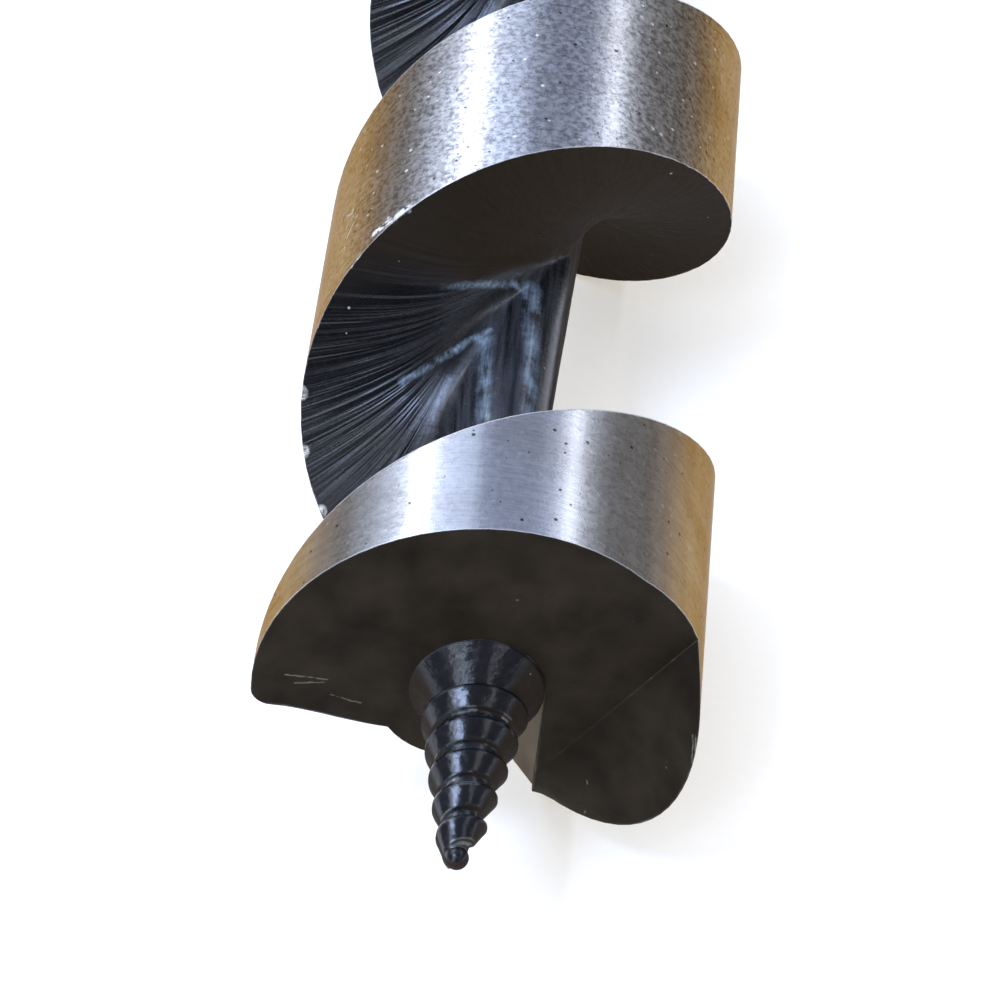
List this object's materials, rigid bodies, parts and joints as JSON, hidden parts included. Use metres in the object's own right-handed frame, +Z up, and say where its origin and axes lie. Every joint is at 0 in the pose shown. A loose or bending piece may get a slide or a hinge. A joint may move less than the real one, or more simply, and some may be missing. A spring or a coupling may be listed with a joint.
{
  "type": "auger bit",
  "caption": "Solid-centre wood auger bit with a threaded lead screw, a single cutting lip and spur, a wide helical land and a hexagonal shank.",
  "frame": {"origin": "on the surface the bit lies on, under the middle of its length and width", "axes": "+Y along the bit from the lead screw to the shank, +Z up from the surface it lies on, +X to its right"},
  "size_m": [0.032, 0.1828, 0.032],
  "materials": {
    "tool_steel": "ground bright on the lands, thin black paint in the groove and on the cutting end"
  },
  "bodies": {
    "root": {"auger_bit": "tool_steel"}
  },
  "joints": []
}
